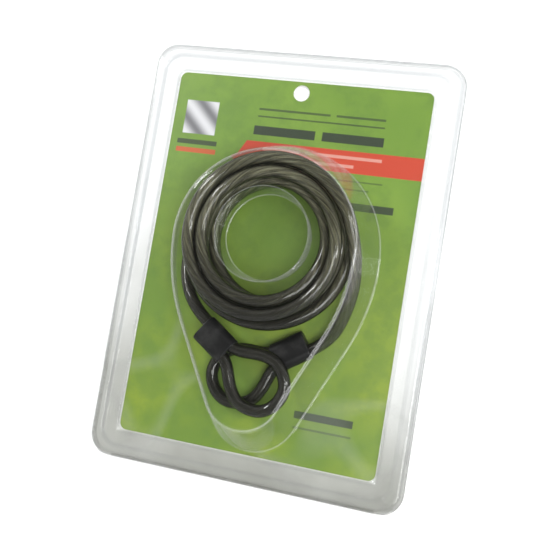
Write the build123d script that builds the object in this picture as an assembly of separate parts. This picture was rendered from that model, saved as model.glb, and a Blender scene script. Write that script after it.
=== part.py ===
from build123d import *
import math
import os

# A looped steel security cable in its hinged clear retail pack.
# Millimetres. The pack lies on its back: Z up through the bubble, Y towards the hang hole,
# origin at the centre of the pack's back. The fold of the pack runs along X at the -Y end.

# ---- pack: driving sizes -------------------------------------------------------------------
pack_width = 155.5
pack_length = 210.0
pack_corner = 11.0
sheet = 0.6                 # thickness of both clear shells
shell_gap = 0.3             # running gap between the two shells, and under the front one

flange_width = 1.2          # flat lip outside the rim bead
bead_outer_slope = 1.0      # sideways run of the bead's outer wall
bead_crown = 3.0            # flat top of the bead
bead_inner_slope = 1.4      # sideways run of the bead's inner wall, open enough to swing clear
bead_height = 4.2           # above the pack's back, on the rear shell
bead_corner = 9.5
crown_radius = 1.0          # round both edges of the bead's crown
ledge_height = 2.4          # flat band between bead and card
ledge_corner = 8.0
recess_slope = 0.6          # sideways run of the wall round the card
crease_radius = 0.7         # rolled fold that joins the two shells
crease_margin = 12.0        # the straight fold stops this far from each side
head_margin = 8.0           # each shell's head, with the hang hole, starts this far over the bubble

# ---- printed card --------------------------------------------------------------------------
card_inset = 14.0           # card's edge to the pack's edge, all round
card_corner = 3.5
card_thickness = 0.6
card_gap = 0.8              # room round the card in its recess
hang_hole_radius = 4.0
hang_hole_from_card_end = 5.7

# ---- cable ---------------------------------------------------------------------------------
cable_diameter = 6.0
core_diameter = 4.0
cable_sides = 12            # the cable's solids are prisms with this many sides
lay_gap = 0.5               # least gap between neighbouring turns, and over the layers
rest_gap = 0.25             # cable to card
coil_center = (-0.5, 9.4)
coil_inner_radius = 28.1    # centre line of the innermost turn
coil_layers = 4
layer_turns = 1.8375
coil_start_angle = 160.0    # degrees; the coil runs clockwise seen from above
reversal = 0.25             # turns on each side of a reversal in which the coil climbs

# ---- bubble over the cable -----------------------------------------------------------------
bubble_radius = 50.4        # round end, at the foot of the wall
bubble_center_y = 8.0
bubble_turn = 2.0           # degrees; the pointed end stands this far over to the right
bubble_flank_radius = 97.5
bubble_flank_angle = 26.2   # degrees from Y to the straight flank
bubble_end_y = -89.0
bubble_side_draft = 16.0    # degrees
bubble_end_inset = 12.0     # the pointed end leans in further than the sides
bubble_rim_fillet = 2.6
bubble_head_room = 0.3      # over the coil
well_center = (-1.2, 11.5)
well_radius = 21.4
well_draft = 4.0            # degrees
well_floor_over_card = 13.0
well_fillet = 1.2           # round the well's floor

# ---- crimped ends --------------------------------------------------------------------------
sleeve_length = 17.0
sleeve_wall = 0.7
sleeve_end_wall = 2.5
ferrule_length = 11.0
ferrule_wall = 1.1
strand_spacing = 6.6        # between the two strands side by side in a ferrule
slide_fit = 0.1             # ferrule in sleeve, core in ferrule, cable in the sleeve's mouth
eye_radius = 12.8           # centre line of the eye's round part
eye_reach = 19.5            # sleeve mouth to the eye's centre
eye_a_center = (4.3, -55.5)
eye_a_heading = -35.0       # degrees, from the sleeve towards the eye
eye_b_center = (-6.7, -54.5)
eye_b_heading = 213.5
lead_a_first_run = 11.0     # straight on from the coil
lead_a_last_run = 9.0       # straight into the sleeve
lead_a_way = ((-42.0, -2.0, 5.4), (-39.4, -14.5, 8.4))
lead_b_first_run = 7.5
lead_b_last_run = 10.0
lead_b_way = ((41.4, 9.6, 18.8), (42.4, -4.6, 12.6), (39.4, -18.5, 7.6))

# ---- worked out ----------------------------------------------------------------------------
cable_radius = cable_diameter / 2
cable_section = RegularPolygon(cable_radius, cable_sides)
pitch = cable_diameter + lay_gap + 0.1
layer_step = cable_diameter + lay_gap
coil_turns = coil_layers * layer_turns
coil_outer_radius = coil_inner_radius + pitch * (layer_turns - reversal)
coil_end_radius = coil_inner_radius + pitch * (layer_turns - reversal / 2)

card_width = pack_width - 2 * card_inset
card_length = pack_length - 2 * card_inset
card_bottom = sheet
card_top = card_bottom + card_thickness
cover_bottom = card_top + shell_gap
cover_top = cover_bottom + sheet
coil_base = card_top + rest_gap + cable_radius
coil_top = coil_base + (coil_layers - 1) * layer_step + cable_radius
bubble_top = coil_top + bubble_head_room + sheet
well_floor = card_top + well_floor_over_card
bubble_lean = (bubble_top - cover_top) * math.tan(math.radians(bubble_side_draft))

sleeve_height = cable_diameter + 2 * sleeve_wall
sleeve_width = strand_spacing + sleeve_height
ferrule_height = sleeve_height - 2 * sleeve_wall - 2 * slide_fit
ferrule_width = strand_spacing + core_diameter + 2 * ferrule_wall

level_b = card_top + 0.2 + sleeve_height / 2          # lower end lies on the card
level_a = level_b + sleeve_height / 2 + cable_radius + 0.4   # upper end lies on the lower one
eye_b_level = coil_base

head_start = bubble_center_y + bubble_radius + head_margin
crease_y = -pack_length / 2 + crease_radius
crease_z = sheet + shell_gap / 2


# ---- pack ----------------------------------------------------------------------------------
def level(inset, corner, z):
    """A rounded rectangle that lies inset inside the pack's outline, at height z."""
    return Pos(0, 0, z) * RectangleRounded(pack_width - 2 * inset, pack_length - 2 * inset, corner)


def frustum(low, high):
    """A solid between two levels, with straight sloping walls."""
    return loft([level(*low), level(*high)], ruled=True)


def tray(offset, floor, bottom):
    """All that lies under one skin of a shell: offset lifts and widens the skin evenly."""
    bead_foot = flange_width - offset
    bead_top = bead_foot + bead_outer_slope
    crown_end = bead_top + bead_crown + 2 * offset
    ledge_start = crown_end + bead_inner_slope
    recess_wall = card_inset - card_gap + offset
    flange_z = sheet + offset
    bead_z = bead_height + offset
    ledge_z = ledge_height + offset
    low_corner = card_corner + card_gap - offset

    slab = extrude(level(0, pack_corner, bottom), flange_z - bottom)
    bead = frustum((bead_foot, pack_corner - flange_width + offset, flange_z - sheet),
                   (bead_top, bead_corner + offset, bead_z))
    dish = frustum((ledge_start, ledge_corner - offset, ledge_z),
                   (crown_end, ledge_corner + bead_inner_slope - offset, bead_z))
    recess = frustum((recess_wall, low_corner, floor),
                     (recess_wall - recess_slope, low_corner + recess_slope, ledge_z))
    over_dish = extrude(level(crown_end, ledge_corner + bead_inner_slope - offset, bead_z), 1)
    over_recess = extrude(
        level(recess_wall - recess_slope, low_corner + recess_slope, ledge_z), 1)
    body = slab + bead - dish - over_dish - recess - over_recess
    crown = body.edges().filter_by_position(Axis.Z, bead_z - 0.01, bead_z + 0.01)
    return fillet(crown, crown_radius + offset)


def teardrop(inset, end_inset, z):
    """The bubble's outline: a round end, two flank arcs, two straight flanks, a small round end."""
    radius = bubble_radius - inset
    flank = bubble_flank_radius - inset
    angle = math.radians(bubble_flank_angle)
    end_y = bubble_end_y + end_inset
    knee = Vector(radius - flank + flank * math.cos(angle), bubble_center_y - flank * math.sin(angle))
    reach = knee.X * math.cos(angle) - knee.Y * math.sin(angle)
    end_radius = (reach + end_y * math.sin(angle)) / (1 - math.sin(angle))
    end_center = end_y + end_radius
    foot = Vector(end_radius * math.cos(angle), end_center - end_radius * math.sin(angle))
    mid = angle / 2
    flank_mid = Vector(radius - flank + flank * math.cos(mid), bubble_center_y - flank * math.sin(mid))

    def mirrored(point):
        return Vector(-point.X, point.Y)

    crown_right = Vector(radius, bubble_center_y)
    crown_top = Vector(0, bubble_center_y + radius)
    end_point = Vector(0, end_y)
    edges = [
        ThreePointArc(crown_right, crown_top, mirrored(crown_right)),
        ThreePointArc(mirrored(crown_right), mirrored(flank_mid), mirrored(knee)),
        Line(mirrored(knee), mirrored(foot)),
        ThreePointArc(mirrored(foot), end_point, foot),
        Line(foot, knee),
        ThreePointArc(knee, flank_mid, crown_right),
    ]
    around = Pos(0, bubble_center_y, 0) * Rot(0, 0, bubble_turn) * Pos(0, -bubble_center_y, 0)
    return Pos(0, 0, z) * around * make_face(Curve() + edges)


def bubble(inset, foot_z, top_z, fillet_radius):
    """The bubble's solid form under one skin, from foot_z up to a flat, filleted top."""
    slope = bubble_lean / (bubble_top - cover_top)
    end_slope = bubble_end_inset / (bubble_top - cover_top)

    def outline(z):
        rise = z - cover_top
        return teardrop(inset + slope * rise, inset + end_slope * rise, z)

    body = loft([outline(foot_z), outline(top_z)], ruled=True)
    return fillet(body.faces().sort_by(Axis.Z)[-1].edges(), fillet_radius)


def well(widen, floor, top_z):
    """The round hollow in the bubble's top, drafted so that it is widest at its mouth."""
    rise = top_z - floor
    mouth = well_radius + widen
    body = Cone(mouth - rise * math.tan(math.radians(well_draft)), mouth, rise,
                align=(Align.CENTER, Align.CENTER, Align.MIN))
    floor_edge = body.edges().filter_by(GeomType.CIRCLE).sort_by(Axis.Z)[0]
    return Pos(*well_center, floor) * fillet(floor_edge, well_fillet + widen)


def hang_hole():
    y = card_length / 2 - hang_hole_from_card_end
    return Pos(0, y, 0) * Cylinder(hang_hole_radius, 6 * bead_height)


def head_and_body(shell):
    """A shell in two parts that meet face to face: its head with the hang hole, and the rest."""
    block = Pos(0, head_start, 0) * Box(
        2 * pack_width, pack_length, 6 * bead_height, align=(Align.CENTER, Align.MIN, Align.CENTER))
    return shell & block, shell - block


def rear_shell():
    skin = tray(0, sheet, 0) - tray(-sheet, -sheet, -bead_height)
    fold = Pos(0, crease_y, crease_z) * Rot(0, 90, 0) * Cylinder(
        crease_radius, pack_width - 2 * crease_margin)
    # the lip ends in the fold, and doesn't stand out past it
    relief = Pos(0, crease_y, 0) * Box(
        pack_width - 2 * crease_margin, 2 * crease_radius, 3 * sheet,
        align=(Align.CENTER, Align.MAX, Align.CENTER))
    return skin - relief + fold - hang_hole()


def front_cover():
    """The flat part of the front shell with its rim, open where the bubble rises."""
    outer = tray(shell_gap + sheet, cover_top, sheet + shell_gap)
    inner = tray(shell_gap, cover_bottom, -bead_height)
    window = bubble(sheet, cover_bottom - sheet, bubble_top - sheet, bubble_rim_fillet - sheet)
    # the lip is cut back along the fold, so that it swings clear of it
    room = 2 * (crease_radius + shell_gap)
    relief = Pos(0, crease_y, crease_z) * Box(pack_width, room, room)
    return outer - inner - window - relief - hang_hole()


def cable_bubble():
    """The bubble's wall and top, standing on the cover round its window."""
    outer = bubble(0, cover_top, bubble_top, bubble_rim_fillet)
    cavity = bubble(sheet, cover_bottom - sheet, bubble_top - sheet, bubble_rim_fillet - sheet)
    return outer - cavity - well(0, well_floor, bubble_top)


def bubble_well():
    """The cup that hangs from the bubble's top, through the middle of the coil."""
    cup = well(sheet, well_floor - sheet, bubble_top) - well(0, well_floor, bubble_top)
    low = cup.bounding_box().min.Z
    keep = Pos(*well_center, low) * Box(
        3 * well_radius, 3 * well_radius, bubble_top - sheet - low,
        align=(Align.CENTER, Align.CENTER, Align.MIN))
    return cup & keep


def backing_card():
    card = extrude(RectangleRounded(card_width, card_length, card_corner), card_thickness)
    return Pos(0, 0, card_bottom) * card - hang_hole()


# ---- cable ---------------------------------------------------------------------------------
def coil_place(turn):
    """Centre line of the coil: it spirals in and out at a steady rate and climbs where it turns."""
    layer = min(int(turn / layer_turns), coil_layers - 1)
    nearest = round(turn / layer_turns)
    past = turn - nearest * layer_turns
    inward = layer % 2 == 0
    if 1 <= nearest < coil_layers and abs(past) < reversal:
        swing = pitch * past * past / (2 * reversal)
        radius = coil_inner_radius + swing if nearest % 2 else coil_outer_radius - swing
        climb = 0.5 * math.sin(math.pi * past / (2 * reversal))
        height = (nearest - 0.5 + climb) * layer_step
    else:
        left = (layer + 1) * layer_turns - turn if inward else turn - layer * layer_turns
        radius = coil_inner_radius + pitch * (left - reversal / 2)
        height = layer * layer_step
    angle = math.radians(coil_start_angle - 360 * turn)
    return Vector(coil_center[0] + radius * math.cos(angle),
                  coil_center[1] + radius * math.sin(angle), coil_base + height)


def coil_heading(turn):
    """Direction of travel at a turn, worked out from two places close to it."""
    step = 0.002
    back = max(turn - step, 0)
    ahead = min(turn + step, coil_turns)
    heading = coil_place(ahead) - coil_place(back)
    if turn in (0, coil_turns):
        heading = Vector(heading.X, heading.Y, 0)
    return heading.normalized()


def biarc(start, start_heading, end, end_heading):
    """Two arcs that leave start and reach end along the given headings."""
    chord = end - start
    both = start_heading + end_heading
    spread = 4 - both.dot(both)
    lean = 2 * chord.dot(both)
    reach = (-lean + math.sqrt(lean * lean + 4 * spread * chord.dot(chord))) / (2 * spread)
    first = start + start_heading * reach
    second = end - end_heading * reach
    joint = (first + second) / 2
    return [
        Edge.make_tangent_arc(start, start_heading, joint),
        Edge.make_tangent_arc(joint, second - first, end),
    ]


def tube(path):
    """A solid of the cable's section along a path of arcs and lines."""
    start = Plane(origin=path.position_at(0), z_dir=path.tangent_at(0))
    return sweep(start * cable_section, path=path)


def cable_coil():
    pieces = round(coil_turns * 4)
    stops = [coil_turns * i / pieces for i in range(pieces + 1)]
    edges = []
    for here, there in zip(stops, stops[1:]):
        edges += biarc(coil_place(here), coil_heading(here), coil_place(there), coil_heading(there))
    path = Wire(edges)
    return tube(path), path.length


def coil_self_gap():
    """Least gap between turns, measured between points on the centre line."""
    per_turn = 90
    points = [coil_place(i / per_turn) for i in range(int(coil_turns * per_turn) + 1)]
    least = min((points[i] - points[j]).length
                for i in range(len(points)) for j in range(i + per_turn // 2, len(points)))
    return least - cable_diameter


def routed(points, name):
    """Straight runs joined by arcs that are as large as the runs allow."""
    points = [Vector(*p) for p in points]
    runs = [(b - a).length for a, b in zip(points, points[1:])]
    radii = []
    for i in range(1, len(points) - 1):
        turn = (points[i] - points[i - 1]).get_angle(points[i + 1] - points[i])
        radii.append(0.45 * min(runs[i - 1], runs[i]) / math.tan(math.radians(turn / 2)))
    path = FilletPolyline(*points, radius=radii)
    wire = Wire(path.edges())
    print(f"{name}: {wire.length:.1f} mm, radii " + " ".join(f"{r:.1f}" for r in radii))
    return tube(wire), wire.length


class CrimpedEnd:
    """One end of the cable: an eye, the ferrule that closes it and the sleeve over the ferrule.

    Along the axis, 0 is the sleeve's mouth and the eye lies on the positive side.
    """

    def __init__(self, eye_center, heading, level, eye_level, standing_side):
        self.angle = heading
        self.level = level
        self.eye_level = eye_level
        self.side = standing_side
        along = Vector(math.cos(math.radians(heading)), math.sin(math.radians(heading)))
        self.along = along
        self.across = Vector(-along.Y, along.X)
        self.mouth = Vector(*eye_center) - along * eye_reach
        self.place = Pos(self.mouth.X, self.mouth.Y, level) * Rot(0, 0, heading)

    def at(self, along, across, z):
        point = self.mouth + self.along * along + self.across * across
        return (point.X, point.Y, z)

    def strand(self, side):
        return side * strand_spacing / 2

    def lead_start(self):
        """Where the cable meets the ferrule, inside the sleeve."""
        return self.at(-sleeve_length + sleeve_end_wall, self.strand(self.side), self.level)

    def eye(self, name):
        """From one strand of the ferrule round the eye and back into the other."""
        far = eye_reach + eye_radius
        half = strand_spacing / 2
        side_reach = eye_radius * 1.07
        outline = [
            (-sleeve_end_wall, half, self.level),
            (sleeve_end_wall, half, self.level),
            (0.57 * eye_reach, 0.8 * eye_radius, (self.level + self.eye_level) / 2),
            (eye_reach, side_reach, self.eye_level),
            (eye_reach + 0.72 * eye_radius, 0.80 * eye_radius, self.eye_level),
            (far + 0.1 * cable_diameter, 0.33 * eye_radius, self.eye_level),
        ]
        points = [self.at(a, b, z) for a, b, z in outline]
        points += [self.at(a, -b, z) for a, b, z in reversed(outline)]
        return routed(points, name)

    def oval(self, width, height, start, length):
        face = Plane.YZ * SlotOverall(width, height)
        return self.place * Pos(start, 0, 0) * extrude(face, length)

    def bores(self, radius, start, length, sides):
        rods = [
            self.place * Pos(start, self.strand(side), 0) * extrude(Plane.YZ * Circle(radius), length)
            for side in sides
        ]
        return rods[0] if len(rods) == 1 else rods[0] + rods[1]

    def ferrule_start(self):
        return -sleeve_end_wall - ferrule_length

    def ferrule(self):
        body = self.oval(ferrule_width, ferrule_height, self.ferrule_start(), ferrule_length)
        return body - self.bores(core_diameter / 2 + slide_fit, self.ferrule_start() - 1,
                                 ferrule_length + 2, (1, -1))

    def cores(self):
        tail = 0.5
        start = self.ferrule_start()
        standing = self.bores(core_diameter / 2, start - (sleeve_length + start - sleeve_end_wall),
                              ferrule_length + sleeve_length + start - sleeve_end_wall, (self.side,))
        ending = self.bores(core_diameter / 2, start - tail, ferrule_length + tail, (-self.side,))
        return Compound(children=[standing.solid(), ending.solid()])

    def sleeve(self):
        body = self.oval(sleeve_width, sleeve_height, -sleeve_length, sleeve_length)
        body = fillet(body.edges().filter_by(GeomType.CIRCLE) + self.flat_rim(body), 0.6)
        chamber = self.oval(ferrule_width + 2 * slide_fit, ferrule_height + 2 * slide_fit,
                            -sleeve_length + sleeve_end_wall,
                            sleeve_length - 2 * sleeve_end_wall)
        mouth = self.bores(cable_radius + slide_fit, -sleeve_end_wall - 1,
                           sleeve_end_wall + 2, (1, -1))
        entry = self.bores(cable_radius + slide_fit, -sleeve_length - 1,
                           sleeve_end_wall + 2, (self.side,))
        return body - chamber - mouth - entry

    def flat_rim(self, body):
        return [e for e in body.edges().filter_by(GeomType.LINE)
                if abs(e.length - strand_spacing) < 0.01]


end_a = CrimpedEnd(eye_a_center, eye_a_heading, level_a, level_a, 1)
end_b = CrimpedEnd(eye_b_center, eye_b_heading, level_b, eye_b_level, 1)

coil_start = coil_place(0)
coil_end = coil_place(coil_turns)
start_heading = coil_heading(0)
end_heading = coil_heading(coil_turns)

lead_a_route = [
    tuple(coil_start),
    tuple(coil_start - start_heading * lead_a_first_run),
    *lead_a_way,
    end_a.at(-sleeve_length - lead_a_last_run, end_a.strand(1), level_a),
    end_a.lead_start(),
]
lead_b_route = [
    tuple(coil_end),
    tuple(coil_end + end_heading * lead_b_first_run),
    *lead_b_way,
    end_b.at(-sleeve_length - lead_b_last_run, end_b.strand(1), level_b),
    end_b.lead_start(),
]

coil_solid, coil_length = cable_coil()
lead_a_solid, lead_a_length = routed(lead_a_route, "cable_lead_a")
lead_b_solid, lead_b_length = routed(lead_b_route, "cable_lead_b")
eye_a_solid, eye_a_length = end_a.eye("eye_loop_a")
eye_b_solid, eye_b_length = end_b.eye("eye_loop_b")

rear_head, rear_body = head_and_body(rear_shell())
front_head, front_body = head_and_body(front_cover())

nodes = {
    "rear_shell": rear_body,
    "rear_head": rear_head,
    "front_cover": front_body,
    "front_head": front_head,
    "cable_bubble": cable_bubble(),
    "bubble_well": bubble_well(),
    "backing_card": backing_card(),
    "cable_coil": coil_solid,
    "cable_lead_a": lead_a_solid,
    "cable_lead_b": lead_b_solid,
    "eye_loop_a": eye_a_solid,
    "eye_loop_b": eye_b_solid,
    "ferrule_a": end_a.ferrule(),
    "ferrule_b": end_b.ferrule(),
    "ferrule_sleeve_a": end_a.sleeve(),
    "ferrule_sleeve_b": end_b.sleeve(),
    "core_ends_a": end_a.cores(),
    "core_ends_b": end_b.cores(),
}

os.makedirs("parts", exist_ok=True)
for name, solid in nodes.items():
    export_step(solid, f"parts/{name}.step")

section = cable_section.area
for name, length in (("cable_coil", coil_length), ("cable_lead_a", lead_a_length),
                     ("cable_lead_b", lead_b_length), ("eye_loop_a", eye_a_length),
                     ("eye_loop_b", eye_b_length)):
    print(f"{name}: volume / (section x length) = {nodes[name].volume / (section * length):.5f}")
print(f"coil: {coil_turns:.2f} turns, {coil_length:.0f} mm, least gap to itself {coil_self_gap():.2f} mm")
print(f"cable between the ferrules: {coil_length + lead_a_length + lead_b_length:.0f} mm")
eye_and_sleeve = sleeve_length - sleeve_end_wall + eye_reach + eye_radius + cable_radius
print(f"overall cable length: {coil_length + lead_a_length + lead_b_length + 2 * eye_and_sleeve:.0f} mm")
print(f"bubble top {bubble_top:.2f}, coil radius {coil_inner_radius:.1f}..{coil_end_radius:.1f}")
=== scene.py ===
import math

import bmesh
import bpy
from mathutils import Matrix, Vector


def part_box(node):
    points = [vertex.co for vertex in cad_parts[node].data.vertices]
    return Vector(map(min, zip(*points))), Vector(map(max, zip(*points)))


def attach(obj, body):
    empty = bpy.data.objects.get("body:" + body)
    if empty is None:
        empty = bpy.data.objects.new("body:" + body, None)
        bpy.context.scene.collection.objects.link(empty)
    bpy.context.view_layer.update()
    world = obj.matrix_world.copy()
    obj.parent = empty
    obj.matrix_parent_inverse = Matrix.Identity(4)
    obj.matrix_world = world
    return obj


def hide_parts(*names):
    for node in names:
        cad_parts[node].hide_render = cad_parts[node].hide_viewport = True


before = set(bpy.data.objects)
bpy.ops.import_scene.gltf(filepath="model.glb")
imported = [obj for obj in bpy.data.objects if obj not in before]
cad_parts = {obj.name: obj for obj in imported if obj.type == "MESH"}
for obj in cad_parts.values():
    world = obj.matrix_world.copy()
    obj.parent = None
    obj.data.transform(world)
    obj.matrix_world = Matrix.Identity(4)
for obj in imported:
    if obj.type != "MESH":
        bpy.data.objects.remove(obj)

# A looped steel cable in its hinged clear hanging pack. Metres here, but shape functions work in
# millimetres, as part.py does, and are turned into metres when a mesh is made.
MM = 0.001
BACK, FRONT = "pack_back_half", "pack_front_half"

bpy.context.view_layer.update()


def millimetres(corner):
    return Vector(corner) / MM


# ---- sizes, from the frame where it has them -------------------------------------------------
card_high = millimetres(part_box("backing_card")[1])
shell_high = millimetres(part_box("rear_shell")[1])
head_high = millimetres(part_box("rear_head")[1])
bubble_high = millimetres(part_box("cable_bubble")[1])
well_low, well_high = map(millimetres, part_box("bubble_well"))

pack_width = 2 * shell_high.x
pack_length = 2 * head_high.y
card_top = card_high.z
bubble_top = bubble_high.z
card_inset = pack_width / 2 - card_high.x

# ---- sizes of the clear shells, as part.py has them ------------------------------------------
sheet = 0.6
shell_gap = 0.3
pack_corner = 11.0
flange_width = 1.2
bead_outer_slope = 1.0
bead_crown = 3.0
bead_inner_slope = 1.4
bead_height = 4.2
bead_corner = 9.5
crown_radius = 1.0
ledge_height = 2.4
ledge_corner = 8.0
recess_slope = 0.6
card_corner = 3.5
card_gap = 0.8
crease_radius = 0.7
crease_margin = 12.0
hang_hole_radius = 4.0
hang_hole_from_card_end = 5.7
cover_bottom = card_top + shell_gap
cover_top = cover_bottom + sheet

bubble_radius = 50.4
bubble_center_y = 8.0
bubble_turn = 2.0
bubble_flank_radius = 97.5
bubble_flank_angle = 26.2
bubble_end_y = -89.0
bubble_side_draft = 16.0
bubble_end_inset = 12.0
bubble_rim_fillet = 2.6
well_center = (well_low + well_high) / 2
well_radius = 21.4
well_draft = 4.0
well_floor_over_card = 13.0
well_fillet = 1.2
well_floor = card_top + well_floor_over_card

# ---- sizes of the cable, as part.py has them -------------------------------------------------
cable_diameter = 6.0
lay_gap = 0.5               # between the coil's layers
turn_gap = 0.1              # and this much more between its turns
rest_gap = 0.25             # coil over the card
sleeve_rest_gap = 0.2       # sleeve B over the card
eye_gap = 0.4               # eye A over sleeve B
coil_center = (-0.5, 9.4)
coil_inner_radius = 28.1
coil_layers = 4
layer_turns = 1.8375
coil_start_angle = 160.0
reversal = 0.25
sleeve_length = 17.0
sleeve_wall = 0.7
sleeve_end_wall = 2.5
strand_spacing = 6.6
eye_radius = 12.8
eye_reach = 19.5
eye_a_center = (4.3, -55.5)
eye_a_heading = -35.0
eye_b_center = (-6.7, -54.5)
eye_b_heading = 213.5
lead_a_first_run = 11.0
lead_a_last_run = 9.0
lead_a_way = ((-42.0, -2.0, 5.4), (-39.4, -14.5, 8.4))
lead_b_first_run = 7.5
lead_b_last_run = 10.0
lead_b_way = ((41.4, 9.6, 18.8), (42.4, -4.6, 12.6), (39.4, -18.5, 7.6))

cable_radius = cable_diameter / 2
pitch = cable_diameter + lay_gap + turn_gap
layer_step = cable_diameter + lay_gap
coil_turns = coil_layers * layer_turns
coil_outer_radius = coil_inner_radius + pitch * (layer_turns - reversal)
coil_base = card_top + rest_gap + cable_radius
sleeve_height = cable_diameter + 2 * sleeve_wall
level_b = card_top + sleeve_rest_gap + sleeve_height / 2
level_a = level_b + sleeve_height / 2 + cable_radius + eye_gap

# ---- finer detail, which only this script has ------------------------------------------------
# roundings of the rim, the bubble and the well
lip_fillet = 0.35
bead_fillet = 0.8
ledge_fillet = 0.5
floor_fillet = 0.4
bubble_foot_fillet = 1.6
well_mouth_fillet = 0.9

# the front lip is cut back along the fold, so that it clears the fold when it swings
fold_end = 2.0              # cut this far from the pack's lower end
fold_top = 2.1              # and up to this height
fold_spread = 0.1           # the cut rings are spread over this height, so that no two coincide

# fine ribs on the rim's outer wall
rib_pitch = 2.2
rib_height = 0.42
rib_margin = 0.2            # they stop this far from the wall's foot and top
rib_spans = {1: (-81.0, -6.0), -1: (-61.0, 0.0)}    # side of the pack: where its ribs run
plain_stations = range(-84, 85, 7)                  # points of the outline where there are none

# flat rims round the walls' ends, which lie in the flat faces that the walls meet
recess_rim = 1.5
bubble_foot_rim = 2.5
bubble_top_rim = 4.0
well_mouth_rim = 1.6
well_floor_rim = 3.0

# the strands in the cable
core_strands = 7
lay_length = 66.0           # length in which a strand goes once round
groove_radius = 2.4         # core between two strands
strand_crown = 0.30         # a strand's crown over that
strand_fullness = 0.7       # below 1, the crowns are broad and the grooves narrow

# fineness of the meshes
corner_steps = 10           # along each of the pack's corners
crown_steps = 60            # along the bubble's round end
flank_steps = 14            # along its flanks, which are first curved and then straight
straight_steps = 8
toe_steps = 24              # along its small end
rib_steps = 6               # along each rib
rim_fillet_steps = 6        # up the roundings of the rim
wall_fillet_steps = 8       # up those of the bubble and the well
hole_steps = 40             # round the hang hole
well_steps = 96
tube_steps = 20             # round the cable's sheath and the fold
strand_steps = 36
coil_steps = 24             # points of the cable's route in each turn of the coil
line_spacing = 1.5          # between points on the cable's line


# ---- camera, recovered from the corners of the card and the pack in the photo ----------------
camera_place = (91.33, -27.27, 350.84)
camera_right = (0.95965, 0.16450, -0.22807)
camera_up = (-0.14622, 0.98468, 0.09496)
camera_lens = 48.38


def make_camera():
    data = bpy.data.cameras.new("camera")
    data.sensor_width = 36
    data.lens = camera_lens
    data.clip_start = 0.01
    data.clip_end = 10
    camera = bpy.data.objects.new("camera", data)
    right = Vector(camera_right)
    up = Vector(camera_up)
    turn = Matrix((right, up, right.cross(up))).transposed()
    camera.matrix_world = Matrix.Translation(Vector(camera_place) * MM) @ turn.to_4x4()
    bpy.context.collection.objects.link(camera)
    bpy.context.scene.camera = camera


# ---- material helpers ------------------------------------------------------------------------
class Nodes:
    """A material's node tree, with short calls for the nodes that are used here."""

    def __init__(self, name):
        self.material = bpy.data.materials.new(name)
        self.material.use_nodes = True
        self.tree = self.material.node_tree
        self.tree.nodes.clear()
        self.output = self.tree.nodes.new("ShaderNodeOutputMaterial")

    def set(self, socket, value):
        if isinstance(value, bpy.types.NodeSocket):
            self.tree.links.new(value, socket)
        elif isinstance(value, tuple) and len(value) == 3 and socket.type == "RGBA":
            socket.default_value = (*value, 1)
        else:
            socket.default_value = value

    def node(self, kind, inputs=(), **settings):
        made = self.tree.nodes.new(kind)
        for key, value in settings.items():
            setattr(made, key, value)
        for key, value in dict(inputs).items():
            self.set(made.inputs[key], value)
        return made

    def math(self, operation, *values):
        made = self.node("ShaderNodeMath", operation=operation)
        for socket, value in zip(made.inputs, values):
            self.set(socket, value)
        return made.outputs[0]

    def product(self, *values):
        made = values[0]
        for value in values[1:]:
            made = self.math("MULTIPLY", made, value)
        return made

    def distance(self, a, b):
        """Length of the arrow whose two parts are a and b."""
        squares = self.math("ADD", self.math("POWER", a, 2.0), self.math("POWER", b, 2.0))
        return self.math("SQRT", squares)

    def mix(self, factor, low, high):
        """A colour from low, at factor 0, to high, at factor 1."""
        made = self.node("ShaderNodeMix", data_type="RGBA")
        self.set(made.inputs[0], factor)
        self.set(made.inputs[6], low)
        self.set(made.inputs[7], high)
        return made.outputs[2]

    def place(self):
        """Place in the part's own frame, in metres."""
        return self.node("ShaderNodeTexCoord").outputs["Object"]

    def axes(self, vector):
        return self.node("ShaderNodeSeparateXYZ", {"Vector": vector}).outputs

    def noise(self, scale, detail=2.0, vector=None, roughness=0.5):
        inputs = {"Scale": scale, "Detail": detail, "Roughness": roughness}
        if vector is not None:
            inputs["Vector"] = vector
        return self.node("ShaderNodeTexNoise", inputs).outputs["Fac"]

    def stretch(self, value, low, high, to_low=0.0, to_high=1.0):
        """Maps low to high on to_low to to_high, and stays at these beyond them."""
        return self.node("ShaderNodeMapRange", {
            "Value": value, "From Min": low, "From Max": high, "To Min": to_low, "To Max": to_high,
        }).outputs[0]

    def bump(self, height, distance, strength=1.0):
        inputs = {"Height": height, "Distance": distance, "Strength": strength}
        return self.node("ShaderNodeBump", inputs).outputs[0]

    def principled(self, **inputs):
        named = {key.replace("_", " "): value for key, value in inputs.items()}
        return self.node("ShaderNodeBsdfPrincipled", named).outputs[0]

    def facing(self):
        """Zero where a surface is seen face on, one where it is seen edge on."""
        return self.node("ShaderNodeLayerWeight", {"Blend": 0.5}).outputs["Facing"]

    def reflectance(self, face_on, edge_on):
        """Share of light that a clear surface reflects, the same from both of its sides."""
        grazing = self.math("MULTIPLY", self.math("POWER", self.facing(), 5.0), edge_on - face_on)
        return self.math("ADD", grazing, face_on)

    def see_through(self, tint):
        return self.node("ShaderNodeBsdfTransparent", {"Color": tint}).outputs[0]

    def dull(self, colour):
        return self.node("ShaderNodeBsdfDiffuse", {"Color": colour}).outputs[0]

    def gloss(self, roughness, normal):
        return self.node("ShaderNodeBsdfGlossy", {
            "Color": (1.0, 1.0, 1.0), "Roughness": roughness, "Normal": normal,
        }).outputs[0]

    def blend(self, share, first, second):
        """The first shader, with this share of the second."""
        return self.node("ShaderNodeMixShader", {0: share, 1: first, 2: second}).outputs[0]

    def finish(self, shader):
        self.tree.links.new(shader, self.output.inputs["Surface"])
        return self.material


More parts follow.
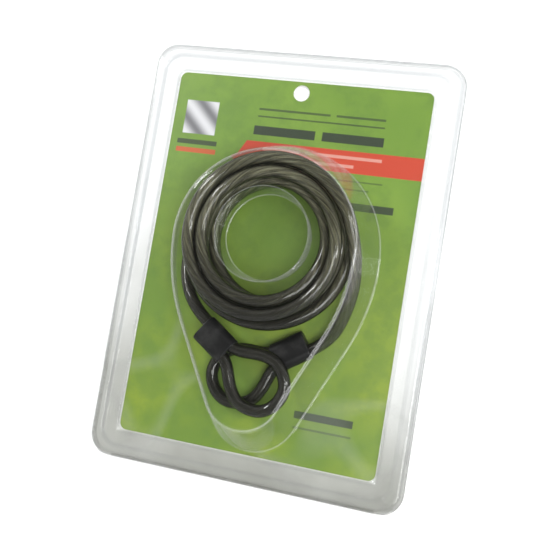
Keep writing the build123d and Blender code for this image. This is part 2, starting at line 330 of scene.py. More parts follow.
# The clear sheet's tints, by where it lies. The rim is seen through several layers of sheet. Its
# greys
# are painted shade: on the walls, the lip and the well, and growing towards the pack's lower end.
# The edge colours are for painted highlights, greyer towards the lower end. A pair of tints is for
# the upper and the lower end. Widths are in millimetres.
flat_tints = (0.995, 0.997, 0.996), (0.858, 0.860, 0.848)
rim_wall_tints = (0.928, 0.932, 0.935), (0.837, 0.839, 0.831)
lip_tints = (0.880, 0.884, 0.887), (0.834, 0.836, 0.828)
bubble_wall_tint = (0.965, 0.968, 0.964)
well_wall_tint = (0.88, 0.89, 0.87)
edge_highlight_colours = (0.80, 0.81, 0.80), (0.46, 0.46, 0.45)
rim_tint_width = 1.2        # outside the card, the rim's tint comes in over this width
lip_tint_start = 0.9        # the lip's tint starts this far inside the pack's edge
lip_tint_full = 0.3         # and is full here


def clear_plastic():
    """Thin clear sheet, light going straight through: painted shade greys its walls, lip and lower
    end.
    """
    m = Nodes("clear_sheet")
    where = m.place()
    x, y, z = m.axes(where)
    across = m.math("ABSOLUTE", x)
    along = m.math("ABSOLUTE", y)
    cloud = m.noise(26.0, 3.0, where)

    # one on the rim, outside the card
    rim = m.math("MAXIMUM",
                 m.stretch(across, card_high.x * MM, (card_high.x + rim_tint_width) * MM),
                 m.stretch(along, card_high.y * MM, (card_high.y + rim_tint_width) * MM))
    # painted shade: from zero over the middle to one at the lower end, along a leaning and uneven
    # front
    lean = m.math("MULTIPLY", x, m.stretch(y, -0.100, -0.060, -0.20, 0.22))
    front = m.math("ADD", m.math("ADD", y, lean), m.stretch(cloud, 0.3, 0.7, -0.015, 0.015))
    lower_end_shade = m.math("POWER", m.stretch(front, 0.010, -0.115), 1.5)
    # one on the lip, by the distance to the arcs' centres at the pack's corners; its grey tint is
    # painted shade
    out_x = m.math("SUBTRACT", across, (pack_width / 2 - pack_corner) * MM)
    out_y = m.math("SUBTRACT", along, (pack_length / 2 - pack_corner) * MM)
    out = m.distance(m.math("MAXIMUM", out_x, 0.0), m.math("MAXIMUM", out_y, 0.0))
    lip = m.stretch(out, (pack_corner - lip_tint_start) * MM, (pack_corner - lip_tint_full) * MM)
    # one on the walls, by the surface's own slope; their grey tints are painted shade
    level = m.math("ABSOLUTE", m.axes(m.node("ShaderNodeTexCoord").outputs["Normal"])[2])
    steep = m.stretch(level, 0.97, 0.60)
    # one in the well, whose walls take a greyer tint as painted shade
    from_well = m.distance(m.math("SUBTRACT", x, well_center.x * MM),
                           m.math("SUBTRACT", y, well_center.y * MM))
    in_well = m.stretch(from_well, (well_radius + 2) * MM, (well_radius + 1) * MM)

    # the rim's painted shade, growing towards the lower end
    rim_lower_shade = m.math("MULTIPLY", lower_end_shade, rim)
    wall = m.mix(rim, m.mix(in_well, bubble_wall_tint, well_wall_tint),
                 m.mix(lower_end_shade, *rim_wall_tints))
    tint = m.mix(steep, m.mix(rim_lower_shade, *flat_tints), wall)
    tint = m.mix(lip, tint, m.mix(lower_end_shade, *lip_tints))

    # painted highlight: pale where it is seen edge on and along its bends; below the coil, also
    # pale in faint swirls
    edge = m.math("MULTIPLY", m.math("POWER", m.facing(), 10.0), 0.80)
    wave = m.math("ABSOLUTE", m.math("SUBTRACT", m.noise(13.0, 1.0, where), 0.5))
    swirl = m.product(m.stretch(wave, 0.030, 0.005, 0.0, 0.032),
                      m.stretch(y, 0.0, -0.03), m.stretch(z, 0.006, 0.004))
    bent = m.math("ABSOLUTE", m.math("SUBTRACT", level, 0.75))
    bend_highlight = m.product(m.stretch(bent, 0.16, 0.04, 0.0, 0.17), m.stretch(rim, 0.3, 0.0))
    pale = m.math("ADD", m.math("ADD", edge, swirl), bend_highlight)
    # the pale share takes a painted highlight colour, greyer towards the lower end as painted shade
    body = m.blend(pale, m.see_through(tint), m.dull(m.mix(rim_lower_shade, *edge_highlight_colours)))

    ripple = m.bump(m.noise(22.0, 1.0, where), 0.0008, 0.08)
    shine = m.gloss(m.stretch(cloud, 0.3, 0.7, 0.04, 0.09), ripple)
    return m.finish(m.blend(m.reflectance(0.016, 0.65), body, shine))


def box_mask(m, x, y, left, right, bottom, top, slant=0.0):
    """One inside a rectangle in millimetres, whose left end may lean, and zero outside it."""
    soft = 0.15 * MM
    lean = m.math("MULTIPLY", m.math("SUBTRACT", y, bottom * MM), slant)
    start = m.math("SUBTRACT", m.math("SUBTRACT", x, left * MM), lean)
    return m.product(
        m.stretch(start, -soft, soft),
        m.stretch(x, right * MM + soft, right * MM - soft),
        m.stretch(y, bottom * MM - soft, bottom * MM + soft),
        m.stretch(y, top * MM + soft, top * MM - soft),
    )


# Print on the card. A bar is its ink, how strong it is, and its left, right, bottom and top in
# millimetres, with a slant where its left end leans.
dark_ink = (0.035, 0.050, 0.028)
red_ink = (0.490, 0.060, 0.030)
orange_ink = (0.520, 0.090, 0.035)
pale_ink = (0.62, 0.30, 0.25)
printed_bars = [
    (red_ink, 1.0, (-29.5, 64.0, 48.8, 59.5, 0.55)),
    (pale_ink, 0.9, (-15.0, 4.0, 55.4, 56.9)),
    (pale_ink, 0.9, (6.5, 44.0, 55.4, 56.9)),
    (pale_ink, 0.9, (-15.0, 31.0, 51.2, 52.7)),
    (dark_ink, 0.75, (-20.0, 16.0, 75.2, 76.3)),
    (dark_ink, 0.75, (19.0, 43.0, 75.2, 76.3)),
    (dark_ink, 0.75, (-20.0, 43.0, 71.7, 72.5)),
    (dark_ink, 1.0, (-21.0, 10.0, 62.8, 67.3)),
    (dark_ink, 1.0, (13.5, 43.5, 62.8, 67.3)),
    (dark_ink, 0.55, (12.0, 46.0, 44.6, 45.4)),
    (dark_ink, 0.55, (12.0, 40.0, 40.6, 41.4)),
    (dark_ink, 0.95, (18.0, 53.0, 31.2, 34.8)),
    (dark_ink, 0.95, (22.0, 50.0, -69.5, -66.0)),
    (dark_ink, 0.55, (22.0, 50.0, -74.2, -73.2)),
    (dark_ink, 0.9, (-60.0, -39.0, 54.6, 57.0)),
    (orange_ink, 0.9, (-60.0, -39.0, 50.4, 52.8)),
]
silver_square = (-58.0, -41.0, 60.0, 77.0)
# dark and light silver of the painted sheen
silver_tones = (0.16, 0.16, 0.17), (0.62, 0.62, 0.64)
board_colour = (0.72, 0.72, 0.68)


def card_print():
    """Green card with a red band, and plain bars where a printed card has its words."""
    m = Nodes("printed_card")
    where = m.place()
    x, y, _ = m.axes(where)
    # the blotches and the darker spots of the green are painted reflection of the clear plastic
    # over it
    reflection_blotch = m.noise(22.0, 3.0, where)
    grain = m.noise(900.0, 2.0, where)
    reflection_spots = m.noise(48.0, 5.0, where, 0.7)
    green = m.mix(m.stretch(reflection_blotch, 0.35, 0.65), (0.143, 0.256, 0.037), (0.181, 0.300, 0.044))
    yellow = m.mix(m.stretch(reflection_blotch, 0.38, 0.62), (0.132, 0.224, 0.032), (0.217, 0.297, 0.030))
    colour = m.mix(m.stretch(y, 0.045, -0.050), green, yellow)
    colour = m.mix(m.stretch(reflection_spots, 0.47, 0.60, 0.0, 0.42), colour, (0.095, 0.185, 0.036))
    colour = m.mix(m.stretch(grain, 0.3, 0.7, 0.0, 0.20), colour, (0.170, 0.250, 0.050))
    for ink, strength, bar in printed_bars:
        mask = m.math("MULTIPLY", box_mask(m, x, y, *bar), strength)
        colour = m.mix(mask, colour, ink)
    # painted sheen: bands of light and dark silver across the silver square
    painted_sheen = m.math("SINE", m.math("MULTIPLY", m.math("ADD", x, y), 420.0))
    silver = m.mix(m.stretch(painted_sheen, -1.0, 1.0), *silver_tones)
    colour = m.mix(box_mask(m, x, y, *silver_square), colour, silver)
    up = m.axes(m.node("ShaderNodeNewGeometry").outputs["Normal"])[2]
    colour = m.mix(m.stretch(up, 0.4, 0.6), board_colour, colour)
    rough = m.stretch(grain, 0.3, 0.7, 0.32, 0.45)
    fibre = m.bump(m.noise(1600.0, 2.0, where), 0.00003, 0.4)
    return m.finish(m.principled(Base_Color=colour, Roughness=rough, Normal=fibre))


def wire_core():
    """Twisted strands of fine wire, light on their crowns, with painted shade black in their
    grooves.
    """
    m = Nodes("twisted_steel")
    where = m.place()
    # U runs along the cable in metres, V goes once round it
    along, round_it, _ = m.axes(m.node("ShaderNodeUVMap").outputs[0])
    turn = m.math("ADD", round_it, m.math("DIVIDE", along, lay_length * MM))
    angle = m.math("MULTIPLY", turn, 2 * math.pi)
    crown = m.math("COSINE", m.math("MULTIPLY", angle, float(core_strands)))
    # noise drawn out along the lay, so that it shows as single wires, with painted shade between
    # them
    wires_round, wires_along = 28.0, 70.0
    lay = m.node("ShaderNodeCombineXYZ", {
        0: m.math("MULTIPLY", m.math("COSINE", angle), wires_round),
        1: m.math("MULTIPLY", m.math("SINE", angle), wires_round),
        2: m.math("MULTIPLY", along, wires_along),
    }).outputs[0]
    wires = m.noise(1.0, 3.0, lay, 0.7)
    patch = m.noise(55.0, 3.0, where)
    # the steel's olive cast is partly its own colour and partly painted reflection of the green
    # card
    steel = m.mix(m.stretch(patch, 0.35, 0.65), (0.26, 0.26, 0.155), (0.50, 0.50, 0.35))
    colour = m.mix(m.stretch(wires, 0.45, 0.59), (0.014, 0.014, 0.009), steel)
    # painted shade: black in the grooves between the strands
    colour = m.mix(m.stretch(crown, -1.0, 0.0, 0.45, 1.0), (0.008, 0.008, 0.006), colour)
    # painted shade, darker towards the pack's lower end
    # the photo's cable is darker in its lower half
    painted_shade = m.math("MULTIPLY", m.stretch(m.axes(where)[1], 0.012, -0.026), 0.94)
    colour = m.mix(painted_shade, colour, (0.005, 0.005, 0.004))
    height = m.math("ADD", m.math("MULTIPLY", crown, 0.3), m.math("MULTIPLY", wires, 1.2))
    return m.finish(m.principled(Base_Color=colour, Metallic=0.45, Roughness=0.38,
                                 Normal=m.bump(height, 0.0004, 0.7)))


def smoke_sheath():
    """Thin smoke-clear vinyl over the strands, darker where light goes through it at a slant."""
    m = Nodes("smoke_sheath")
    where = m.place()
    haze = m.noise(70.0, 3.0, where)
    tint = m.mix(m.math("POWER", m.facing(), 1.4), (0.88, 0.87, 0.82), (0.07, 0.068, 0.055))
    body = m.blend(m.stretch(haze, 0.35, 0.7, 0.02, 0.12),
                   m.see_through(tint), m.dull((0.045, 0.045, 0.032)))
    ripple = m.bump(m.noise(170.0, 2.0, where), 0.0002, 0.35)
    shine = m.gloss(m.stretch(haze, 0.3, 0.7, 0.08, 0.17), ripple)
    return m.finish(m.blend(m.reflectance(0.032, 1.0), body, shine))


def black_sleeve():
    """Black shrunk tube, a little scuffed."""
    m = Nodes("black_sleeve")
    where = m.place()
    grain = m.noise(500.0, 3.0, where)
    scuff = m.noise(140.0, 4.0, where)
    colour = m.mix(m.stretch(scuff, 0.5, 0.75), (0.006, 0.006, 0.006), (0.022, 0.022, 0.021))
    rough = m.stretch(scuff, 0.3, 0.7, 0.30, 0.48)
    return m.finish(m.principled(Base_Color=colour, Roughness=rough, Specular_IOR_Level=0.25,
                                 Normal=m.bump(grain, 0.0001, 0.4)))


def streaked_metal(name, dark, light, roughness):
    m = Nodes(name)
    streak = m.noise(400.0, 3.0, m.place())
    return m.finish(m.principled(Base_Color=m.mix(streak, dark, light), Metallic=1.0,
                                 Roughness=roughness, Normal=m.bump(streak, 0.0001, 0.5)))


def pressed_ferrule():
    return streaked_metal("pressed_ferrule", (0.35, 0.35, 0.34), (0.60, 0.60, 0.58), 0.4)


def bare_wire():
    return streaked_metal("bare_wire", (0.20, 0.20, 0.19), (0.45, 0.45, 0.43), 0.35)


# ---- mesh helpers ----------------------------------------------------------------------------
def link(name, mesh, material, body, replaced=()):
    """Puts a mesh in the scene as a piece of the object."""
    made = bpy.data.objects.new(name, mesh)
    bpy.context.collection.objects.link(made)
    made.data.materials.append(material)
    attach(made, body)
    if replaced:
        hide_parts(*replaced)
    return made


def arc(center, radius, start, end, steps, last=False):
    """Points on an arc, in degrees, with its last point only if that is asked for."""
    angles = [math.radians(start + (end - start) * i / steps) for i in range(steps + last)]
    return [(center[0] + radius * math.cos(a), center[1] + radius * math.sin(a)) for a in angles]


def circle(center, radius, steps):
    angles = [2 * math.pi * i / steps for i in range(steps)]
    return [(center[0] + radius * math.cos(a), center[1] + radius * math.sin(a)) for a in angles]


def rounded(corners, steps):
    """The line through (inset, height, radius) corners, with each corner rounded."""
    points = [Vector(corner[:2]) for corner in corners]
    line = [points[0]]
    for i in range(1, len(points) - 1):
        back = points[i - 1] - points[i]
        ahead = points[i + 1] - points[i]
        half = back.angle(ahead) / 2
        # at most 0.49 of a straight, so that the roundings at its two ends don't meet
        reach = min(corners[i][2] / math.tan(half), 0.49 * back.length, 0.49 * ahead.length)
        start = points[i] + back.normalized() * reach
        end = points[i] + ahead.normalized() * reach
        for k in range(steps + 1):
            t = k / steps
            line.append(start * (1 - t) ** 2 + points[i] * 2 * t * (1 - t) + end * t ** 2)
    line.append(points[-1])
    return line


def add_ring(bm, outline, height):
    return [bm.verts.new((x * MM, y * MM, height * MM)) for x, y in outline]


def join_rings(bm, rings):
    for low, high in zip(rings, rings[1:]):
        count = len(low)
        for i in range(count):
            j = (i + 1) % count
            bm.faces.new((low[i], low[j], high[j], high[i])).smooth = True


def fill_between(bm, *rings):
    """Fills the flat face that lies between these rings."""
    edges = []
    for ring in rings:
        for i, vertex in enumerate(ring):
            after = ring[(i + 1) % len(ring)]
            edges.append(bm.edges.get((vertex, after)) or bm.edges.new((vertex, after)))
    bmesh.ops.triangle_fill(bm, use_beauty=True, use_dissolve=False, edges=edges, normal=(0, 0, 1))


def as_mesh(bm, name):
    bmesh.ops.recalc_face_normals(bm, faces=bm.faces)
    mesh = bpy.data.meshes.new(name)
    bm.to_mesh(mesh)
    bm.free()
    return mesh


def as_sheet(bm, name, material, body, replaced):
    """Turns the open skin into a sheet of the real thickness."""
    made = link(name, as_mesh(bm, name), material, body, replaced)
    thick = made.modifiers.new("thickness", "SOLIDIFY")
    thick.thickness = sheet * MM
    thick.offset = 0
    thick.use_even_offset = True


# ---- clear shells ----------------------------------------------------------------------------
def interpolate(pairs, value):
    """The result at this value, on the line through the (value, result) pairs."""
    for (a, fa), (b, fb) in zip(pairs, pairs[1:]):
        if value <= b:
            return fa + (fb - fa) * (value - a) / (b - a)
    return pairs[-1][1]


def rib_push(side, y):
    """How far a rib stands out of the rim's outer wall at this place."""
    low, high = rib_spans[side]
    if not low <= y <= high:
        return 0.0
    return rib_height * (0.5 - 0.5 * math.cos(2 * math.pi * (y - low) / rib_pitch))


def side_stations(side):
    """Places along a long side, closer together where it is ribbed."""
    low, high = rib_spans[side]
    fine = rib_pitch / rib_steps
    ribs = [low + fine * i for i in range(int((high - low) / fine) + 1)]
    plain = [y for y in plain_stations if y < low - 1 or y > high + 1]
    return sorted(plain + ribs)


def pack_outline(inset, corner, push):
    """The pack's rounded outline, moved in by inset, run anticlockwise from the right side."""
    x = pack_width / 2 - inset
    y = pack_length / 2 - inset
    middle_x, middle_y = x - corner, y - corner

    def rounded_corner(side_x, side_y, start):
        center = (side_x * middle_x, side_y * middle_y)
        return arc(center, corner, start, start + 90, corner_steps, last=True)

    return [
        *[(x + push * rib_push(1, s), s) for s in side_stations(1)],
        *rounded_corner(1, 1, 0),
        *rounded_corner(-1, 1, 90),
        *[(-x - push * rib_push(-1, s), s) for s in reversed(side_stations(-1))],
        *rounded_corner(-1, -1, 180),
        *rounded_corner(1, -1, 270),
    ]


def rim_rings(bm, offset, floor, front):
    """Rings from the pack's lip over the rim bead and the ledge down to the floor round the card.

    The front shell is ribbed, and its lip is cut back along the fold, so that it swings clear.
    """
    bead_foot = flange_width - offset
    bead_top = bead_foot + bead_outer_slope
    crown_end = bead_top + bead_crown + 2 * offset
    ledge_start = crown_end + bead_inner_slope
    recess_wall = card_inset - card_gap + offset
    flange_z = sheet + offset
    bead_z = bead_height + offset
    ledge_z = ledge_height + offset
    profile = rounded([
        (0.0, flange_z, 0),
        (bead_foot, flange_z, lip_fillet),
        (bead_top, bead_z, crown_radius + offset),
        (crown_end, bead_z, crown_radius + offset),
        (ledge_start, ledge_z, bead_fillet),
        (recess_wall - recess_slope, ledge_z, ledge_fillet),
        (recess_wall, floor, floor_fillet),
        (recess_wall + recess_rim, floor, 0),
    ], rim_fillet_steps)
    corner_radii = [
        (0.0, pack_corner),
        (flange_width, pack_corner - flange_width),
        (flange_width + bead_outer_slope, bead_corner),
        (crown_end, ledge_corner + bead_inner_slope),
        (ledge_start, ledge_corner),
        (recess_wall - recess_slope, card_corner + card_gap + recess_slope),
        (recess_wall, card_corner + card_gap),
        (recess_wall + 2, card_corner),
    ]
    rings = []
    for inset, height in profile:
        low, high = flange_z + rib_margin, bead_z - rib_margin
        on_wall = 0 < inset - bead_foot < bead_outer_slope and low < height < high
        push = 1.0 if front and on_wall else 0.0
        ring = add_ring(bm, pack_outline(inset, interpolate(corner_radii, inset), push), height)
        cut = fold_top + fold_spread * len(rings) / len(profile)
        if front and height < cut:
            wall = bead_foot + bead_outer_slope * (cut - flange_z) / (bead_z - flange_z)
            for vertex in ring:
                if vertex.co.y < (fold_end - pack_length / 2) * MM:
                    vertex.co.y = max(vertex.co.y, (wall - pack_length / 2) * MM)
                    vertex.co.z = cut * MM
        rings.append(ring)
    join_rings(bm, rings)
    return rings[-1]


def hole_ring(bm, height):
    """The edge of the hang hole."""
    center = (0.0, card_high.y - hang_hole_from_card_end)
    return add_ring(bm, circle(center, hang_hole_radius, hole_steps), height)


def teardrop(inset, end_inset):
    """The bubble's outline: a round end, two flank arcs, two straight flanks, a small round end."""
    radius = bubble_radius - inset
    flank = bubble_flank_radius - inset
    lean = bubble_flank_angle
    angle = math.radians(lean)
    end_y = bubble_end_y + end_inset
    knee_x = radius - flank + flank * math.cos(angle)
    knee_y = bubble_center_y - flank * math.sin(angle)
    reach = knee_x * math.cos(angle) - knee_y * math.sin(angle)
    end_radius = (reach + end_y * math.sin(angle)) / (1 - math.sin(angle))
    end_center = (0.0, end_y + end_radius)
    foot_x = end_radius * math.cos(angle)
    foot_y = end_center[1] - end_radius * math.sin(angle)
    straight = [(knee_x + (foot_x - knee_x) * i / straight_steps,
                 knee_y + (foot_y - knee_y) * i / straight_steps) for i in range(straight_steps)]
    line = [
        *arc((0.0, bubble_center_y), radius, 0, 180, crown_steps),
        *arc((flank - radius, bubble_center_y), flank, 180, 180 + lean, flank_steps),
        *[(-x, y) for x, y in straight],
        *arc(end_center, end_radius, 180 + lean, 360 - lean, toe_steps),
        (foot_x, foot_y),
        *reversed(straight[1:]),
        *arc((radius - flank, bubble_center_y), flank, -lean, 0, flank_steps),
    ]
    # the whole outline is turned about the centre of its round end
    turn = math.radians(bubble_turn)
    cos, sin = math.cos(turn), math.sin(turn)
    turned = []
    for x, y in line:
        y -= bubble_center_y
        turned.append((x * cos - y * sin, bubble_center_y + x * sin + y * cos))
    return turned


def bubble_rings(bm, floor):
    """Rings up the bubble's wall, from its foot on the cover to its flat top."""
    mid = sheet / 2
    rise = bubble_top - cover_top
    slope = math.tan(math.radians(bubble_side_draft))
    end_slope = bubble_end_inset / rise
    top = bubble_top - mid
    profile = rounded([
        (mid - bubble_foot_rim, floor, 0),
        (mid + slope * (floor - cover_top), floor, bubble_foot_fillet),
        (mid + slope * (top - cover_top), top, bubble_rim_fillet),
        (mid + slope * rise + bubble_top_rim, top, 0),
    ], wall_fillet_steps)
    rings = []
    for inset, height in profile:
        end_inset = inset + (end_slope - slope) * (height - cover_top)
        rings.append(add_ring(bm, teardrop(inset, end_inset), height))
    join_rings(bm, rings)
    return rings[0], rings[-1]


def well_rings(bm, top):
    """Rings down the round hollow in the bubble's top."""
    mid = sheet / 2
    floor = well_floor - mid
    mouth = well_radius + mid
    foot = mouth - (bubble_top - well_floor) * math.tan(math.radians(well_draft))
    profile = rounded([
        (mouth + well_mouth_rim, top, 0),
        (mouth, top, well_mouth_fillet),
        (foot, floor, well_fillet + mid),
        (foot - well_floor_rim, floor, 0),
    ], wall_fillet_steps)
    rings = [add_ring(bm, circle(well_center, radius, well_steps), height)
             for radius, height in profile]
    join_rings(bm, rings)
    return rings[0], rings[-1]


def front_shell(material):
    bm = bmesh.new()
    offset = shell_gap + sheet / 2
    floor = cover_bottom + sheet / 2
    floor_ring = rim_rings(bm, offset, floor, True)
    foot_ring, top_ring = bubble_rings(bm, floor)
    mouth_ring, well_ring = well_rings(bm, bubble_top - sheet / 2)
    fill_between(bm, floor_ring, foot_ring, hole_ring(bm, floor))
    fill_between(bm, top_ring, mouth_ring)
    fill_between(bm, well_ring)
    as_sheet(bm, "clear_front_shell", material, FRONT,
             ("front_cover", "front_head", "cable_bubble", "bubble_well"))


def back_shell(material):
    bm = bmesh.new()
    floor = sheet / 2
    floor_ring = rim_rings(bm, -sheet / 2, floor, False)
    fill_between(bm, floor_ring, hole_ring(bm, floor))
    as_sheet(bm, "clear_back_shell", material, BACK, ("rear_shell", "rear_head"))


def hinge_fold(material):
    """The rolled fold along the pack's lower end, with rounded ends."""
    center = (-pack_length / 2 + crease_radius, sheet + shell_gap / 2)
    half = pack_width / 2 - crease_margin
    rounded_end = [(0.0, 0.3), (0.25, 0.8), (0.7, 1.0)]     # from the end, share of the radius
    stations = [(distance - half, share) for distance, share in rounded_end]
    stations += [(half - distance, share) for distance, share in reversed(rounded_end)]
    bm = bmesh.new()
    rings = []
    for x, share in stations:
        outline = circle(center, crease_radius * share, tube_steps)
        rings.append([bm.verts.new((x * MM, y * MM, z * MM)) for y, z in outline])
    join_rings(bm, rings)
    bm.faces.new(rings[0])
    bm.faces.new(rings[-1])
    link("hinge_fold", as_mesh(bm, "hinge_fold"), material, BACK)


# ---- cable -----------------------------------------------------------------------------------
def coil_place(turn):
    """Centre line of the coil: it spirals in and out at a steady rate and climbs where it turns."""
    layer = min(int(turn / layer_turns), coil_layers - 1)
    nearest = round(turn / layer_turns)
    past = turn - nearest * layer_turns
    inward = layer % 2 == 0
    if 1 <= nearest < coil_layers and abs(past) < reversal:
        swing = pitch * past * past / (2 * reversal)
        radius = coil_inner_radius + swing if nearest % 2 else coil_outer_radius - swing
        climb = math.sin(math.pi * past / (2 * reversal)) / 2
        height = (nearest - 0.5 + climb) * layer_step
    else:
        left = (layer + 1) * layer_turns - turn if inward else turn - layer * layer_turns
        radius = coil_inner_radius + pitch * (left - reversal / 2)
        height = layer * layer_step
    angle = math.radians(coil_start_angle - 360 * turn)
    return Vector((coil_center[0] + radius * math.cos(angle),
                   coil_center[1] + radius * math.sin(angle), coil_base + height))


def coil_heading(turn):
    """The level direction in which the coil runs at this turn."""
    step = 0.002
    back = max(turn - step, 0)
    ahead = min(turn + step, coil_turns)
    heading = coil_place(ahead) - coil_place(back)
    return Vector((heading.x, heading.y, 0)).normalized()


class CrimpedEnd:
    """One end of the cable. Along its axis, 0 is the sleeve's mouth and the eye is ahead of it."""

    def __init__(self, eye_center, heading, level, eye_level):
        angle = math.radians(heading)
        self.along = Vector((math.cos(angle), math.sin(angle), 0))
        self.across = Vector((-self.along.y, self.along.x, 0))
        self.mouth = Vector((*eye_center, 0)) - self.along * eye_reach
        self.level = level
        self.eye_level = eye_level

    def at(self, along, across, z):
        point = self.mouth + self.along * along + self.across * across
        return Vector((point.x, point.y, z))

    def lead_start(self):
        return self.at(sleeve_end_wall - sleeve_length, strand_spacing / 2, self.level)

    def eye_route(self):
        """Out of the sleeve, round the eye and back. The list is half of it: along, across, z."""
        far = eye_reach + eye_radius
        half = strand_spacing / 2
        level, eye_level = self.level, self.eye_level
        outline = [
            (-sleeve_end_wall, half, level),
            (sleeve_end_wall, half, level),
            (0.57 * eye_reach, 0.8 * eye_radius, (level + eye_level) / 2),
            (eye_reach, 1.07 * eye_radius, eye_level),
            (eye_reach + 0.72 * eye_radius, 0.80 * eye_radius, eye_level),
            (far + 0.1 * cable_diameter, 0.33 * eye_radius, eye_level),
        ]
        points = [self.at(a, b, z) for a, b, z in outline]
        return points + [self.at(a, -b, z) for a, b, z in reversed(outline)]


def smooth_line(name, route):
    """Evenly spaced points on the smooth spline that has the route as its control points."""
    curve = bpy.data.curves.new(name, "CURVE")
    curve.dimensions = "3D"
    curve.resolution_u = 14
    spline = curve.splines.new("NURBS")
    spline.points.add(len(route) - 1)
    for point, place in zip(spline.points, route):
        point.co = (*(Vector(place) * MM), 1)
    spline.order_u = 3
    spline.use_endpoint_u = True
    holder = bpy.data.objects.new(name, curve)
    bpy.context.collection.objects.link(holder)
    line = bpy.data.meshes.new_from_object(holder)
    points = [v.co.copy() for v in line.vertices]
    bpy.data.objects.remove(holder)
    lengths = [0.0]
    for a, b in zip(points, points[1:]):
        lengths.append(lengths[-1] + (b - a).length)
    count = round(lengths[-1] / (line_spacing * MM))
    even = []
    i = 0
    for k in range(count + 1):
        target = lengths[-1] * k / count
        while i < len(points) - 2 and lengths[i + 1] < target:
            i += 1
        share = (target - lengths[i]) / (lengths[i + 1] - lengths[i])
        even.append(points[i].lerp(points[i + 1], min(max(share, 0), 1)))
    return even, lengths[-1]


def sweep(name, line, section, material, body, replaced=()):
    """A closed tube along a line. section(distance) gives its points, in millimetres.

    Its UV map has the distance along it as U, and V goes once round it.
    """
    tangents = []
    for i in range(len(line)):
        tangents.append((line[min(i + 1, len(line) - 1)] - line[max(i - 1, 0)]).normalized())
    side = tangents[0].orthogonal().normalized()
    vertices = []
    reached = []
    distance = 0.0
    count = len(section(0.0))
    for i, (place, tangent) in enumerate(zip(line, tangents)):
        side = (side - tangent * side.dot(tangent)).normalized()
        other = tangent.cross(side)
        if i:
            distance += (place - line[i - 1]).length
        for a, b in section(distance):
            vertices.append(place + (side * a + other * b) * MM)
        reached.append(distance)
    faces = []
    uvs = []
    for i in range(len(line) - 1):
        for j in range(count):
            k = (j + 1) % count
            faces.append((i * count + j, i * count + k, (i + 1) * count + k, (i + 1) * count + j))
            v0, v1 = j / count, (j + 1) / count
            uvs += [(reached[i], v0), (reached[i], v1), (reached[i + 1], v1), (reached[i + 1], v0)]
    last = (len(line) - 1) * count
    faces.append(tuple(reversed(range(count))))
    faces.append(tuple(range(last, last + count)))
    uvs += [(reached[0], 0.0)] * count + [(reached[-1], 0.0)] * count
    mesh = bpy.data.meshes.new(name)
    mesh.from_pydata(vertices, [], faces)
    layer = mesh.uv_layers.new(name="UVMap")
    for item, uv in zip(layer.data, uvs):
        item.uv = uv
    mesh.validate()
    for polygon in mesh.polygons:
        polygon.use_smooth = len(polygon.vertices) == 4
    return link(name, mesh, material, body, replaced)


def round_section(_distance):
    return circle((0.0, 0.0), cable_radius, tube_steps)


def strand_section(distance):
    """The strands seen as lobes, turning as they go along."""
    turn = distance / (lay_length * MM)
    points = []
    for i in range(strand_steps):
        share = i / strand_steps
        lobe = abs(math.cos(math.pi * core_strands * (share + turn)))
        radius = groove_radius + strand_crown * lobe ** strand_fullness
        angle = 2 * math.pi * share
        points.append((radius * math.cos(angle), radius * math.sin(angle)))
    return points


def cable(name, route, core_material, sheath_material, replaced):
    """A stretch of cable: its strands, and the sheath over them."""
    line, length = smooth_line(name, route)
    core = sweep(f"{name}_strands", line, strand_section, core_material, BACK)
    tube = sweep(f"{name}_sheath", line, round_section, sheath_material, BACK,
                 replaced)


def main_route(end_a, end_b):
    """From the sleeve of one end, through the coil, to the sleeve of the other."""
    stops = round(coil_turns * coil_steps)
    coil = [coil_place(coil_turns * i / stops) for i in range(stops + 1)]
    start, end = coil[0], coil[-1]
    half = strand_spacing / 2
    lead_a = [
        start - coil_heading(0) * lead_a_first_run,
        *[Vector(p) for p in lead_a_way],
        end_a.at(-sleeve_length - lead_a_last_run, half, end_a.level),
        end_a.lead_start(),
    ]
    lead_b = [
        end + coil_heading(coil_turns) * lead_b_first_run,
        *[Vector(p) for p in lead_b_way],
        end_b.at(-sleeve_length - lead_b_last_run, half, end_b.level),
        end_b.lead_start(),
    ]
    return list(reversed(lead_a)) + coil + lead_b


# ---- stage -----------------------------------------------------------------------------------
def make_floor():
    reach, height = 4.0, -0.0002
    corners = [(x * reach, y * reach, height) for x, y in ((-1, -1), (1, -1), (1, 1), (-1, 1))]
    mesh = bpy.data.meshes.new("floor")
    mesh.from_pydata(corners, [], [(0, 1, 2, 3)])
    floor = bpy.data.objects.new("floor", mesh)
    bpy.context.collection.objects.link(floor)
    m = Nodes("pale_floor")
    tone = m.mix(m.noise(3.0, 2.0, m.place()), (0.88, 0.88, 0.88), (0.92, 0.92, 0.92))
    floor.data.materials.append(m.finish(m.principled(Base_Color=tone, Roughness=0.8)))


def area_light(name, place, size, power):
    """A rectangular light that looks at the part. Its place and size are in metres."""
    data = bpy.data.lights.new(name, "AREA")
    data.shape = "RECTANGLE"
    data.size, data.size_y = size
    data.energy = power
    light = bpy.data.objects.new(name, data)
    light.location = place
    light.rotation_mode = "QUATERNION"
    light.rotation_quaternion = (-Vector(place)).to_track_quat("-Z", "Y")
    bpy.context.collection.objects.link(light)


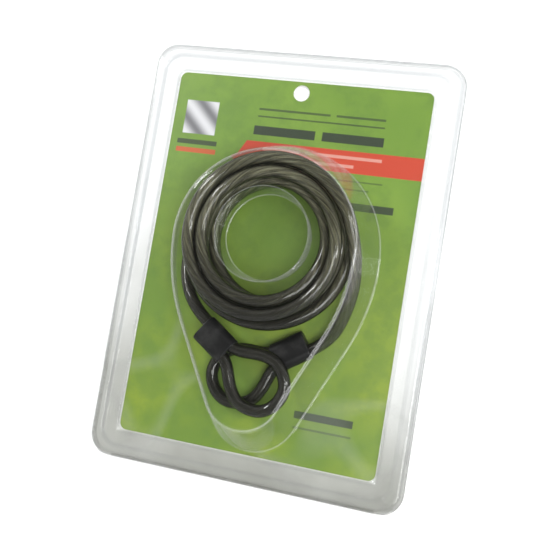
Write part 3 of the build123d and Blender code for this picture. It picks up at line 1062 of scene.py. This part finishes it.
def make_world():
    """Soft light from all round, darker straight above, so that flat clear faces stay dark."""
    world = bpy.data.worlds.new("studio")
    world.use_nodes = True
    nodes, links = world.node_tree.nodes, world.node_tree.links
    background = nodes["Background"]
    coordinates = nodes.new("ShaderNodeTexCoord")
    split = nodes.new("ShaderNodeSeparateXYZ")
    ramp = nodes.new("ShaderNodeMapRange")
    for key, value in (("From Min", 0.75), ("From Max", 0.95), ("To Min", 0.69), ("To Max", 0.16)):
        ramp.inputs[key].default_value = value
    links.new(coordinates.outputs["Generated"], split.inputs["Vector"])
    links.new(split.outputs["Z"], ramp.inputs["Value"])
    background.inputs["Color"].default_value = (1.0, 1.0, 1.0, 1)
    links.new(ramp.outputs[0], background.inputs["Strength"])
    bpy.context.scene.world = world


def make_lights():
    area_light("key", (-0.75, 0.45, 0.62), (0.12, 0.6), 5.0)
    area_light("fill", (0.80, 0.10, 0.55), (0.12, 0.5), 3.0)
    area_light("top", (0.46, -0.20, 0.95), (0.60, 0.60), 8.5)
    bpy.context.scene.view_settings.view_transform = "Standard"
    # light passes both faces of several layers of clear sheet on its way
    bpy.context.scene.cycles.transparent_max_bounces = 24


# ---- the whole -------------------------------------------------------------------------------
make_camera()

strands = wire_core()
sheath = smoke_sheath()
end_a = CrimpedEnd(eye_a_center, eye_a_heading, level_a, level_a)
end_b = CrimpedEnd(eye_b_center, eye_b_heading, level_b, coil_base)
cable("cable", main_route(end_a, end_b), strands, sheath,
      ("cable_coil", "cable_lead_a", "cable_lead_b"))
cable("eye_a", end_a.eye_route(), strands, sheath, ("eye_loop_a",))
cable("eye_b", end_b.eye_route(), strands, sheath, ("eye_loop_b",))

clear = clear_plastic()
front_shell(clear)
back_shell(clear)
hinge_fold(clear)

# pieces that are shown as part.py makes them, and what they are made of
carried = {
    "backing_card": card_print(),
    "ferrule_sleeve_a": black_sleeve(),
    "ferrule_sleeve_b": black_sleeve(),
    "ferrule_a": pressed_ferrule(),
    "ferrule_b": pressed_ferrule(),
    "core_ends_a": bare_wire(),
    "core_ends_b": bare_wire(),
}
for node, material in carried.items():
    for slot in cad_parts[node].material_slots:
        slot.material = material

make_floor()
make_world()
make_lights()
